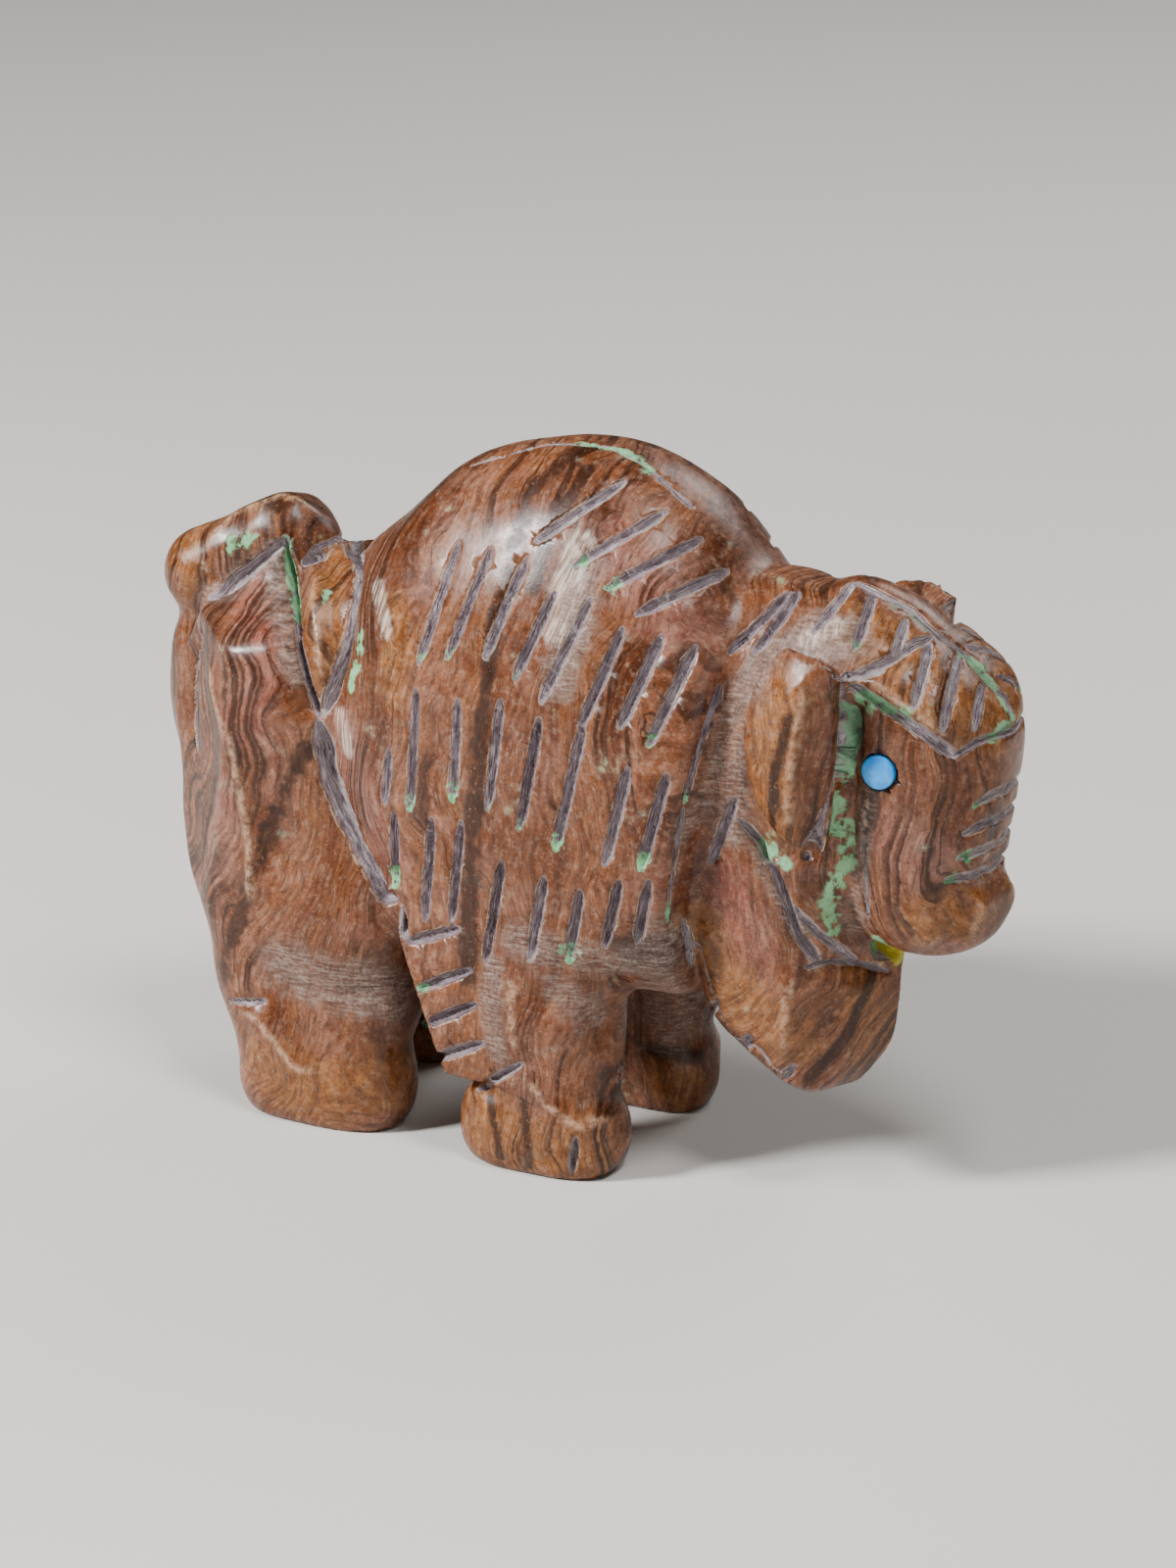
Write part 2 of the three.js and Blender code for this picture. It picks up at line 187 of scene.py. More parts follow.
def trunk(points):
    x, y, z = points.T
    above = z > WIDEST_HEIGHT
    half = along_body(x, HALF_WIDTHS)
    tall = np.where(above, along_body(x, BACK_HEIGHTS) - WIDEST_HEIGHT, WIDEST_HEIGHT - BELLY_HEIGHT)
    squareness = np.where(above, BACK_SQUARENESS, BELLY_SQUARENESS)
    across = np.abs(y) / half + 1e-9
    up = np.abs(z - WIDEST_HEIGHT) / tall + 1e-9
    size = (across ** squareness + up ** squareness) ** (1 / squareness)
    slope = np.hypot((across / size) ** (squareness - 1) / half, (up / size) ** (squareness - 1) / tall)
    distance = smooth_max((size - 1) / slope, flat_cut(points, TRUNK_FRONT), 1.2)
    return smooth_max(distance, flat_cut(points, TRUNK_REAR), 3)


def thigh(points):
    distance = mass(folded(points), *THIGH)
    for cut in THIGH_CUTS:
        distance = smooth_max(distance, flat_cut(folded(points), cut), 0.3)
    return distance


def leg(points, levels):
    distance = mass(points, *levels[0], LEG_SQUARENESS)
    for level in levels[1:]:
        distance = smooth_min(distance, mass(points, *level, LEG_SQUARENESS), 0.8)
    return distance


def head(points):
    side = folded(points)
    skull = smooth_max(mass(points, *SKULL), flat_cut(points, FOREHEAD_SLOPE), 2.5)
    skull = smooth_max(skull, flat_cut(side, FOREHEAD_SHOULDER), 2)
    distance = smooth_min(skull, mass(points, *SNOUT), 2)
    distance = smooth_max(distance, flat_cut(points, NOSE_FRONT), 1)
    distance = smooth_max(distance, flat_cut(side, CHEEK), 1.2)
    distance = smooth_max(distance, flat_cut(side, FACE_CORNER), 1.2)
    distance = smooth_max(distance, flat_cut(points, JAW), 0.8)
    return smooth_min(distance, mass(points, *LIPS), 0.8)


def horn(points):
    offset = folded(points) - np.array(HORN_CENTRE)
    lean = np.radians(HORN_LEAN)
    turn = np.array(((np.cos(lean), 0, np.sin(lean)), (0, 1, 0), (-np.sin(lean), 0, np.cos(lean))))
    distance = mass(offset @ turn, (0, 0, 0), HORN_RADII)
    for cut in HORN_CUTS:
        distance = smooth_max(distance, flat_cut(folded(points), cut), 0.2)
    return distance


def arch(points):
    up = np.maximum(points[:, 2] - ARCH_SPRING, 0) / ARCH_RISE
    across = ARCH_HALF * (np.hypot(points[:, 1] / ARCH_HALF, up) - 1)
    return np.maximum(across, points[:, 0] - ARCH_FRONT)


def stone(points):
    """Distance to the carved stone without its engraving: below zero inside it."""
    distance = smooth_min(trunk(points), thigh(points), 1.5)
    legs = np.min([leg(points, levels) for levels in LEGS], axis=0)
    distance = smooth_min(distance, legs, 1.6)
    distance = smooth_min(distance, mass(points, *SEAT), 1.5)
    tail = smooth_min(bar(points, TAIL[0], TAIL[1]), bar(points, TAIL[1], TAIL[2]), 1)
    distance = smooth_min(distance, tail, 1)
    distance = smooth_min(distance, mass(points, *TAIL_TUFT), 1.5)
    distance = smooth_min(distance, chisel(folded(points), FRINGE_CUTS, 0.5), 0.6)
    distance = smooth_min(distance, mass(points, *NECK), 1)
    distance = smooth_min(distance, chisel(folded(points), BEARD_CUTS, 0.9), 0.8)
    distance = smooth_min(distance, head(points), 0.6)
    horns = horn(points)
    hollow = smooth_max(horns - HORN_HOLLOW_WIDTH, HORN_HOLLOW_FLOOR - np.abs(points[:, 1]), 0.8)
    distance = smooth_max(distance, -hollow, 1.2)
    distance = smooth_min(distance, horns, 0.2)
    distance = smooth_max(distance, -arch(points), 1.2)
    return smooth_max(distance, -points[:, 2], 0.3)
# FORM ENDS


# The photograph's camera. Pixels are those of the photograph, 1200 wide and 1600 high.
PHOTO_WIDTH = 1200
PHOTO_HEIGHT = 1600
CAMERA_TURN = np.radians(28)
CAMERA_RISE = np.radians(19)
CAMERA_DISTANCE = 411.0
MM_PER_PIXEL = 0.07
LOOK_AT = np.array((0, 0, 26.0))
CAMERA_RIGHT = np.array((np.cos(CAMERA_TURN), np.sin(CAMERA_TURN), 0))
CAMERA_BACK = np.array((
    np.sin(CAMERA_TURN) * np.cos(CAMERA_RISE), -np.cos(CAMERA_TURN) * np.cos(CAMERA_RISE), np.sin(CAMERA_RISE)))
CAMERA_UP = np.cross(CAMERA_BACK, CAMERA_RIGHT)
CAMERA_AT = LOOK_AT + CAMERA_DISTANCE * CAMERA_BACK
FOCAL_PIXELS = CAMERA_DISTANCE / MM_PER_PIXEL


def cast(pixels):
    """The places on the stone that these pixels show. A pixel just outside its outline gives the
    nearest place on the stone."""
    u, v = np.array(pixels, float).T
    rays = (np.outer(u - PHOTO_WIDTH / 2, CAMERA_RIGHT) - np.outer(v - PHOTO_HEIGHT / 2, CAMERA_UP)) / FOCAL_PIXELS
    rays -= CAMERA_BACK
    rays /= np.linalg.norm(rays, axis=1)[:, None]
    travelled = np.full(len(u), CAMERA_DISTANCE - 60)
    best = np.full(len(u), np.inf)
    best_travelled = travelled.copy()
    for _ in range(60):
        distance = stone(CAMERA_AT + rays * travelled[:, None])
        closer = distance < best
        best[closer] = distance[closer]
        best_travelled[closer] = travelled[closer]
        travelled = travelled + np.where(best > 0.005, 0.8 * np.maximum(distance, 0.05), 0)
    return settled(CAMERA_AT + rays * best_travelled[:, None], 3)[0]


def settled(points, steps, limit=0.3):
    """The points moved onto the stone's surface, and the surface's normal at each."""
    nudge = 0.02
    for step in range(steps + 1):
        slope = np.stack([(stone(points + nudge * axis) - stone(points - nudge * axis)) / (2 * nudge)
                          for axis in np.eye(3)], axis=1)
        size = np.linalg.norm(slope, axis=1)[:, None] + 1e-6
        if step < steps:
            points = points - np.clip(stone(points)[:, None] / size, -limit, limit) * slope / size
    return points, slope / size


# The mesh of the stone.
GRID_LOW = np.array((-38, -14.5, -2.0))
GRID_HIGH = np.array((37, 14.5, 55.0))
CELL = 0.8


def surface_mesh(form, low, high, cell):
    """The form's surface as triangles: a vertex in each cell that it passes through, and two
    triangles across each edge of the grid that it crosses."""
    count = np.ceil((high - low) / cell).astype(int) + 1
    axes = [low[i] + cell * np.arange(count[i]) for i in range(3)]
    grid = np.stack(np.meshgrid(*axes, indexing="ij"), -1)
    values = np.stack([form(layer.reshape(-1, 3)).reshape(layer.shape[:2]) for layer in grid])
    inside = values < 0
    corners = [(i, j, k) for i in (0, 1) for j in (0, 1) for k in (0, 1)]
    cells = count - 1

    def corner_of(array, corner):
        return array[tuple(slice(corner[i], corner[i] + cells[i]) for i in range(3))]

    filled = sum(corner_of(inside, corner).astype(int) for corner in corners)
    crossed = (filled > 0) & (filled < 8)
    number = np.full(cells, -1)
    number[crossed] = np.arange(crossed.sum())
    total = np.zeros((crossed.sum(), 3))
    crossings = np.zeros(crossed.sum())
    for corner in corners:
        for axis in range(3):
            if corner[axis]:
                continue
            other = tuple(1 if i == axis else corner[i] for i in range(3))
            a = corner_of(values, corner)[crossed]
            b = corner_of(values, other)[crossed]
            cut = (a < 0) != (b < 0)
            place = np.tile(np.array(corner, float), (len(a), 1))
            place[:, axis] = a / np.where(cut, a - b, 1)
            total[cut] += place[cut]
            crossings[cut] += 1
    points = low + cell * (np.argwhere(crossed) + total / crossings[:, None])
    triangles = []
    for axis in range(3):
        u, v = (axis + 1) % 3, (axis + 2) % 3
        from_slice = tuple(slice(0, -1) if i == axis else slice(None) for i in range(3))
        to_slice = tuple(slice(1, None) if i == axis else slice(None) for i in range(3))
        edges = np.argwhere(inside[from_slice] != inside[to_slice])
        solid_first = inside[from_slice][tuple(edges.T)]
        around = []
        for du, dv in ((-1, -1), (0, -1), (0, 0), (-1, 0)):
            cell_at = edges.copy()
            cell_at[:, u] += du
            cell_at[:, v] += dv
            around.append(number[tuple(cell_at.T)])
        quads = np.stack(around, 1)
        quads[~solid_first] = quads[~solid_first][:, ::-1]
        triangles += [quads[:, [0, 1, 2]], quads[:, [0, 2, 3]]]
    return points, np.concatenate(triangles)


def refined(points, triangles, too_long, rounds):
    """The mesh with each edge halved that too_long() picks."""
    for _ in range(rounds):
        ends = np.sort(np.concatenate([triangles[:, [0, 1]], triangles[:, [1, 2]], triangles[:, [2, 0]]]), 1)
        keys, edge_of = np.unique(ends[:, 0] * len(points) + ends[:, 1], return_inverse=True)
        edges = np.stack([keys // len(points), keys % len(points)], 1)
        middle = points[edges].mean(1)
        halved = too_long(points, edges)
        if not halved.any():
            break
        added = np.full(len(edges), -1)
        added[halved] = len(points) + np.arange(halved.sum())
        points = np.concatenate([points, middle[halved]])
        split = added[edge_of].reshape(3, -1).T
        count = (split >= 0).sum(1)
        pieces = [triangles[count == 0]]
        (a, b, c), (ab, bc, ca) = triangles[count == 3].T, split[count == 3].T
        pieces += [np.stack(three, 1) for three in ((a, ab, ca), (ab, b, bc), (ca, bc, c), (ab, bc, ca))]
        for turn in range(3):
            order = [turn, (turn + 1) % 3, (turn + 2) % 3]
            turned, turned_split = triangles[:, order], split[:, order]
            one = (count == 1) & (turned_split[:, 0] >= 0)
            (a, b, c), ab = turned[one].T, turned_split[one, 0]
            pieces += [np.stack(three, 1) for three in ((a, ab, c), (ab, b, c))]
            two = (count == 2) & (turned_split[:, 2] < 0)
            (a, b, c), (ab, bc) = turned[two].T, turned_split[two][:, :2].T
            pieces += [np.stack(three, 1) for three in ((ab, b, bc), (a, ab, bc), (a, bc, c))]
        triangles = np.concatenate(pieces)
    return points, triangles


# The engraved hair, in rows over the body. Each stroke runs from its upper to its lower end, in
# pixels of the photograph, and the far side has its mirror image.
HAIR_ROWS = {
    "hump_front": (((637, 492), (547, 552)), ((680, 522), (585, 577)), ((715, 550), (620, 600)),
                   ((742, 582), (650, 627))),
    "shoulder": (((467, 555), (427, 675)), ((500, 562), (457, 670)), ((537, 570), (495, 670)),
                 ((565, 605), (525, 692)), ((602, 612), (552, 715)), ((635, 642), (592, 742)),
                 ((675, 650), (632, 742)), ((710, 660), (662, 760))),
    "flank": (((396, 765), (392, 820)), ((424, 705), (418, 825)), ((467, 715), (461, 815)),
              ((511, 715), (497, 825)), ((550, 735), (530, 845)), ((595, 740), (567, 865)),
              ((640, 785), (617, 882)), ((680, 792), (655, 885)), ((737, 702), (702, 820))),
    "belly": (((402, 830), (402, 900)), ((440, 837), (432, 940)), ((470, 840), (460, 940)),
              ((512, 880), (495, 980)), ((555, 897), (540, 980)), ((592, 910), (580, 980)),
              ((632, 900), (617, 965)), ((662, 900), (650, 962)), ((700, 830), (685, 940)),
              ((750, 815), (725, 880))),
    "neck": (((805, 605), (745, 665)), ((815, 605), (790, 640), (770, 665))),
    "crown": (((870, 595), (830, 645)), ((892, 605), (872, 662)), ((925, 632), (912, 672))),
    "forelock": (((950, 657), (933, 722)), ((980, 668), (962, 745)), ((1003, 700), (995, 745))),
    "nose": (((1035, 800), (995, 822)), ((1028, 831), (984, 851)), ((1017, 862), (981, 876)),
             ((1010, 887), (970, 902))),
    "fringe": (((468, 948), (415, 962)), ((480, 990), (425, 1010)), ((485, 1025), (435, 1045)),
               ((492, 1065), (443, 1080))),
}
STROKE_WIDTH = 0.9
STROKE_DEPTH = 0.5
# How pale the floors of the grooves are: these rows, and the long grooves, more than the rest.
ROW_TONES = {"nose": 0.8, "crown": 0.4, "hump_front": 0.3, "neck": 0.2, "forelock": 0.3}
LONG_GROOVE_TONE = 0.7

# The longer grooves that part the body's masses: pixels, width, depth, and how wide and deep the
# stone falls away beside them. The far side has their mirror images too.
GROOVES = {
    "thigh_front": (((293, 549), (295, 587), (299, 630), (306, 665), (314, 701), (325, 732)), 0.6, 0.9, 2.4, 0.8),
    "belly_side": (((325, 740), (331, 790), (343, 825), (363, 872), (389, 915), (411, 955)), 1.6, 0.75, 3.4, 0.9),
    "waist": (((364, 548), (360, 603), (347, 673), (330, 728)), 1.15, 0.9, 2.2, 0.6),
    "leaf_top": (((310, 575), (320, 560), (345, 548), (357, 545)), 0.5, 0.4, 1.2, 0.2),
    "horn_front": (((862, 699), (865, 745), (857, 791), (841, 846), (824, 874)), 1.4, 1.3, 1.4, 0.3),
    "face_side": (((870, 730), (872, 770), (866, 830), (862, 900), (866, 950)), 0, 0, 1.9, 0.9),
    "face_line": (((885, 815), (878, 855), (882, 900), (885, 945)), 0.3, 0.3, 1.4, 0.3),
    "brow_back": (((850, 690), (875, 690), (900, 685)), 0.7, 0.5, 1, 0),
    "crown_low": (((872, 690), (905, 675), (935, 655), (950, 650)), 0.9, 0.5, 1.5, 0.2),
    "brow": (((870, 700), (922, 735), (975, 772)), 1.0, 0.6, 2.0, 0.25),
    "brow_front": (((975, 772), (1000, 757), (1020, 750), (1037, 745)), 0.7, 0.4, 1.5, 0.15),
    "muzzle_crease": (((966, 890), (974, 915), (975, 938), (960, 972)), 0, 0, 2.2, 0.7),
    "mouth": (((895, 963), (913, 973)), 2.3, 1.5, 2.6, 0.3),
    "jaw": (((755, 838), (776, 865), (799, 920), (815, 957), (838, 985)), 0.95, 0.7, 2.4, 0.8),
    "jaw_low": (((811, 929), (838, 957), (880, 985)), 0.8, 0.5, 1.6, 0.3),
    "beard_top": (((822, 988), (850, 986), (885, 987), (908, 992)), 0.5, 0.5, 2.0, 0.8),
    "beard_border": (((713, 965), (722, 1000), (735, 1035), (750, 1060), (775, 1070), (790, 1090), (800, 1095)),
                     0.5, 0.35, 1.2, 0.1),
    "beard_notch_back": (((722, 1040), (731, 1022)), 0.9, 0.8, 1, 0),
    "beard_notch": (((752, 1078), (766, 1058)), 1.1, 0.8, 1, 0),
    "beard_notch_low": (((800, 1100), (810, 1087)), 0.9, 0.7, 1, 0),
    "mane_edge": (((740, 700), (720, 765), (702, 820), (695, 890), (690, 950)), 0, 0, 2.2, 0.6),
    "mane_low": (((700, 940), (706, 985)), 0.8, 0.4, 1, 0),
    "foot_top": (((488, 1112), (510, 1098), (532, 1086)), 0.8, 0.6, 1.5, 0.2),
    "foot_cleft": (((588, 1160), (585, 1178), (583, 1198)), 0.75, 1.0, 1, 0),
    "ankle": (((234, 1022), (252, 1023), (270, 1022)), 0.6, 0.4, 1.5, 0.3),
    "ankle_hollow": (((285, 1010), (330, 1020), (385, 1015), (412, 1010)), 0, 0, 4.5, 0.8),
    "shin_hollow": (((565, 1010), (600, 1030), (618, 1050)), 0, 0, 3.2, 0.7),
}
# The grooves that have no mirror image: on the ridge of the back and the face, and by the tail.
SINGLE_GROOVES = {
    "hump_ridge": (((480, 475), (560, 453), (620, 455), (660, 475), (715, 525)), 0.4, 0.25, 1, 0),
    "face_ridge": (((875, 595), (905, 608), (930, 620), (955, 645), (985, 665), (1005, 690), (1028, 710),
                    (1036, 735)), 0.8, 0.4, 1.2, 0.2),
    "tail_under": (((212, 609), (243, 587), (280, 560), (292, 549)), 1.1, 0.6, 2.6, 0.8),
    "tail_strip": (((206, 642), (197, 685), (196, 734), (201, 765)), 0.7, 0.5, 1.8, 0.5),
}
# Sharp ridges between facets: pixels, and how wide and high they stand. Both sides have them.
RIDGES = {
    "thigh_edge": (((216, 668), (228, 726), (239, 759), (249, 808), (258, 860), (258, 930)), 2.8, 0.6),
    "leaf_edge": (((322, 585), (321, 625), (326, 660), (328, 700)), 1.6, 0.6),
    "horn_edge": (((822, 690), (815, 730), (806, 790), (803, 850)), 2.2, 0.6),
    "foot_edge": (((532, 1092), (560, 1125), (590, 1150), (628, 1140)), 2.6, 0.7),
    "shin_edge": (((521, 985), (524, 1040), (528, 1085)), 2.2, 0.4),
    "hind_foot_edge": (((243, 1031), (263, 1036), (288, 1067), (304, 1087), (335, 1096)), 2.8, 0.6),
    "beard_edge": (((812, 988), (803, 1020), (800, 1085)), 3.2, 0.6),
    "cheek_edge": (((925, 945), (950, 962), (968, 950)), 2.4, 0.6),
    "lip_edge": (((990, 905), (1000, 930), (985, 965)), 2.0, 0.4),
    "tail_edge": (((205, 560), (245, 525), (290, 510), (330, 528)), 2.4, 0.5),
    "brow_edge": (((880, 690), (925, 720), (975, 758)), 1.6, 0.35),
}

# Where the stone's colour or finish changes, and where light and shade are painted on it: lines of pixels, and how far
# the change reaches.
PATCHES = {
    "grey": (
        (((790, 668), (760, 720), (742, 780), (748, 845)), 1.6),
        (((700, 850), (730, 800), (760, 700)), 1.2),
        (((830, 640), (870, 655)), 1.8),
        (((884, 810), (878, 860), (868, 920), (872, 950)), 0.9),
        (((770, 870), (800, 930), (835, 985)), 0.7),
        (((503, 985), (500, 1030), (508, 1075)), 1.0),
        (((530, 960), (590, 975), (650, 985)), 1.6),
        (((570, 1010), (610, 1040)), 1.6),
        (((680, 960), (680, 1010), (690, 1050)), 2.2),
        (((290, 985), (340, 1010), (400, 1020)), 2.4),
        (((282, 575), (286, 645), (303, 690)), 0.9),
        (((208, 611), (243, 587), (280, 560)), 0.9),
        (((325, 760), (345, 830), (385, 915)), 0.6),
        (((590, 610), (570, 700)), 1.4),
    ),
    "orange": (
        (((800, 710), (778, 780), (790, 845)), 2.0),
        (((333, 562), (333, 624), (328, 690)), 1.3),
        (((220, 520), (290, 505)), 2.0),
        (((190, 560), (200, 600)), 1.5),
        (((490, 1140), (540, 1180), (610, 1170)), 2.6),
        (((690, 1100), (700, 1120)), 2.2),
        (((270, 1090), (330, 1120), (410, 1100)), 2.6),
        (((720, 950), (745, 1010), (800, 1060)), 2.6),
        (((880, 640), (960, 700), (1010, 730)), 2.6),
        (((880, 1010), (895, 1060)), 2.2),
        (((950, 940), (990, 930)), 2.0),
        (((405, 620), (400, 700)), 1.4),
    ),
    "pink": (
        (((262, 600), (262, 680), (250, 740)), 2.2),
        (((234, 816), (222, 882)), 1.6),
        (((345, 740), (365, 800), (400, 880)), 1.8),
        (((200, 900), (215, 960)), 1.4),
        (((740, 900), (770, 960)), 2.0),
        (((900, 850), (950, 880)), 2.0),
        (((640, 560), (690, 640)), 2.4),
    ),
    # Whitish stone; the first patch, on the hump, is in part a painted highlight.
    "pale": (
        (((590, 555), (578, 590), (570, 640)), 1.2),
        (((347, 728), (353, 767)), 0.6),
        (((386, 600), (394, 644)), 0.6),
        (((825, 650), (850, 640)), 0.8),
    ),
    # Dark veins in the stone, and a painted shade along the underside of the belly.
    "dark_veins_and_shade": (
        (((310, 765), (300, 790), (284, 829), (271, 866), (263, 890), (247, 931), (234, 964), (228, 997)), 0.75),
        (((228, 750), (220, 800), (210, 849), (206, 882)), 0.3),
        (((590, 460), (540, 500), (505, 640), (488, 760), (480, 900), (478, 1000)), 0.8),
        (((600, 480), (560, 540), (545, 600)), 0.6),
        (((806, 731), (790, 791), (790, 846)), 0.4),
        (((893, 805), (883, 860)), 0.4),
        (((893, 995), (880, 1020), (868, 1050), (850, 1075), (825, 1100)), 0.5),
        # Painted shade under the belly.
        (((640, 970), (690, 975)), 1.8),
        (((500, 1120), (510, 1180)), 0.35),
        (((535, 1120), (540, 1190)), 0.35),
        (((668, 1072), (712, 1078)), 0.7),
        (((250, 500), (285, 520)), 0.6),
    ),
    "smudge": (
        (((236, 556), (250, 551)), 0.6),
        (((294, 550), (295, 587), (298, 620)), 0.4),
        (((333, 606), (331, 614)), 0.3),
        (((366, 650), (357, 702)), 0.4),
        (((872, 717), (868, 768), (858, 818)), 0.22),
        (((858, 818), (850, 860)), 0.35),
        (((859, 846), (861, 883), (845, 920), (852, 952)), 0.55),
        (((880, 712), (905, 722), (925, 728)), 0.5),
        (((780, 862), (800, 882)), 0.5),
        (((898, 960), (902, 970)), 0.6),
    ),
    "yellow": (
        (((914, 968), (916, 978)), 0.55),
    ),
}
# Those that have no mirror image.
SINGLE_PATCHES = {
    "ridge_green": (
        (((985, 668), (1005, 685), (1020, 705), (1034, 735), (1015, 752)), 0.45),
        (((905, 610), (930, 622), (945, 640)), 0.3),
        (((590, 452), (640, 460), (665, 480)), 0.3),
    ),
}
PATH_STEP = 7


def path_of(pixels):
    """The line on the stone that a line of pixels shows."""
    pixels = np.array(pixels, float)
    lengths = np.concatenate([[0], np.cumsum(np.linalg.norm(np.diff(pixels, axis=0), axis=1))])
    places = np.linspace(0, lengths[-1], int(lengths[-1] / PATH_STEP) + 2)
    return np.stack([np.interp(places, lengths, pixels[:, i]) for i in (0, 1)], 1)


def nearest_on(points, path):
    """The nearest place on the path to each point, and how far along the path it is from the
    path's start and from its end."""
    start, step = path[:-1], np.diff(path, axis=0)
    span = (step ** 2).sum(1) + 1e-9
    offset = points[:, None] - start
    share = np.clip((offset * step).sum(2) / span, 0, 1)
    distance = np.linalg.norm(offset - share[..., None] * step, axis=2)
    part = distance.argmin(1)
    share = share[np.arange(len(points)), part]
    lengths = np.concatenate([[0], np.cumsum(np.sqrt(span))])
    from_start = lengths[part] + share * np.sqrt(span[part])
    return start[part] + share[:, None] * step[part], from_start, lengths[-1] - from_start


def close_to(points, path, reach):
    """The numbers of the points in the path's box, with this much room round it."""
    return np.flatnonzero(((points > path.min(0) - reach) & (points < path.max(0) + reach)).all(1))


class Groove:
    """A groove, or where it has no width a fall of the stone towards a line, or a ridge where the
    fall is below zero."""

    def __init__(self, path, width, depth, beside=1.0, fall=0.0):
        self.path = path
        self.half_width = width / 2
        self.depth = depth
        self.beside = beside
        self.fall = fall
        self.green = 0.0
        self.tone = 0.0
        self.unevenness = 0.0

    def measure(self, points):
        """How far each point is from the groove's line, in millimetres and as a share of the way
        to its rim, the line's nearest place, and how far that is from both ends."""
        nearest, from_start, to_end = nearest_on(points, self.path)
        distance = np.linalg.norm(points - nearest, axis=1)
        end = np.minimum(from_start, to_end)
        narrowing = np.sqrt(np.clip(0.3 + end / 1.4, 0, 1))
        wavering = 1 + 0.05 * np.sin(2.3 * from_start + self.unevenness) + 0.03 * np.sin(6.1 * to_end + self.unevenness)
        rim = np.maximum(self.half_width * narrowing * wavering, 1e-6)
        return distance, rim, nearest, from_start, to_end


def mirrored(path, shift):
    """The path's mirror image on the far side, a little along from it, laid on the stone."""
    return settled(path * (1, -1, 1) + shift, 3)[0]


def cast_lines(lines):
    """The lines on the stone that these lines of pixels show."""
    paths = [path_of(line) for line in lines]
    return np.split(cast(np.concatenate(paths)), np.cumsum([len(path) for path in paths])[:-1])


def all_grooves():
    random = np.random.default_rng(11)
    rows = [name for name, row in HAIR_ROWS.items() for _ in row]
    strokes = [(pixels, STROKE_WIDTH, STROKE_DEPTH, 1.2, 0.06) for row in HAIR_ROWS.values() for pixels in row]
    ridges = [(pixels, 0, 0, width, -height) for pixels, width, height in RIDGES.values()]
    both_sides = strokes + list(GROOVES.values()) + ridges
    every = both_sides + list(SINGLE_GROOVES.values())
    paths = cast_lines([groove[0] for groove in every])
    grooves = [Groove(path, *groove[1:]) for path, groove in zip(paths, every)]
    for number, groove in enumerate(both_sides):
        shift = random.uniform(-0.3, 0.3, 3) * (1, 0, 1) if number < len(strokes) else 0
        grooves.append(Groove(mirrored(paths[number], shift), *groove[1:]))
    for number, groove in enumerate(grooves):
        groove.unevenness = random.uniform(0, 6)
        green, tone = random.uniform(-0.8, 1), random.uniform(0, 0.5)
        stroke = number % len(every)
        if stroke < len(strokes):
            groove.green = max(green, 0)
            groove.tone = tone + ROW_TONES.get(rows[stroke], 0)
        else:
            groove.tone = LONG_GROOVE_TONE
    return grooves


COARSE_EDGE = 2.0
FINE_EDGE = 0.36
BEND_EDGE = 0.5
BEND = np.cos(np.radians(11))
BESIDE = 0.3
THIN_PATCH = 0.7


def too_long(points, edges, grooves, lines):
    """Which edges of the mesh are to be halved: the longer ones in and beside the grooves, round
    the eyes, in narrow patches and where the surface bends."""
    ends = points[edges]
    middle = ends.mean(1)
    limit = np.full(len(edges), COARSE_EDGE)
    normals = settled(points, 0)[1]
    bent = (normals[edges[:, 0]] * normals[edges[:, 1]]).sum(1) < BEND
    limit[bent] = BEND_EDGE
    side = folded(middle)
    for _, both, path, reach in lines:
        if reach < THIN_PATCH:
            place = side if both else middle
            near = close_to(place, path, reach * 1.5)
            distance = np.linalg.norm(place[near] - nearest_on(place[near], path)[0], axis=1)
            limit[near[distance < reach * 1.5]] = BEND_EDGE
    for groove in grooves:
        reach = groove.half_width + BESIDE
        near = close_to(middle, groove.path, reach)
        distance = np.linalg.norm(middle[near] - nearest_on(middle[near], groove.path)[0], axis=1)
        limit[near[distance < reach]] = FINE_EDGE
    limit[np.abs(eye_distance(middle) - EYE_RADIUS) < 0.5] = FINE_EDGE
    return np.linalg.norm(ends[:, 0] - ends[:, 1], axis=1) > limit


def snapped(points, triangles, grooves):
    """The points moved sideways onto the rims and the lines of the grooves that they are nearly
    on, so that the mesh has its edges there. Those that would flatten or turn a triangle stay."""
    moved = points.copy()
    for groove in grooves:
        near = close_to(points, groove.path, groove.half_width * 1.4 + 0.15)
        if not len(near):
            continue
        distance, rim, nearest, _, _ = groove.measure(points[near])
        goal = np.where(distance < 0.11, 0, distance)
        if groove.half_width:
            goal = np.where(np.abs(distance - rim) < 0.11, rim, goal)
        moved[near] = nearest + (points[near] - nearest) * (goal / np.maximum(distance, 1e-6))[:, None]
    for _ in range(6):
        before, after = facings(points, triangles), facings(moved, triangles)
        spoilt = triangles[(before * after).sum(1) < 0.3 * (before ** 2).sum(1)].ravel()
        moved[spoilt] = points[spoilt]
    return moved


def facings(points, triangles):
    """The direction that each triangle faces, as long as twice its area."""
    a, b, c = (points[triangles[:, i]] for i in range(3))
    return np.cross(b - a, c - a)


# The eyes: turquoise discs let into the cheeks.
EYE_AT = np.array((26, 6.95, 33.1))
EYE_FACING = np.array(CHEEK[1]) / np.linalg.norm(CHEEK[1])
EYE_RADIUS = 1.2
EYE_DEPTH = 1.2
EYE_DOME = 0.2
GLUE_WIDTH = 0.13
SOCKET_DEPTH = 0.5


def eye_distance(points):
    """Distance from the line through the nearer eye, for points that are close to it."""
    offset = folded(points) - EYE_AT
    out = offset @ EYE_FACING
    across = np.linalg.norm(offset - out[:, None] * EYE_FACING, axis=1)
    return np.where(np.abs(out) < 1.5, across, 99)


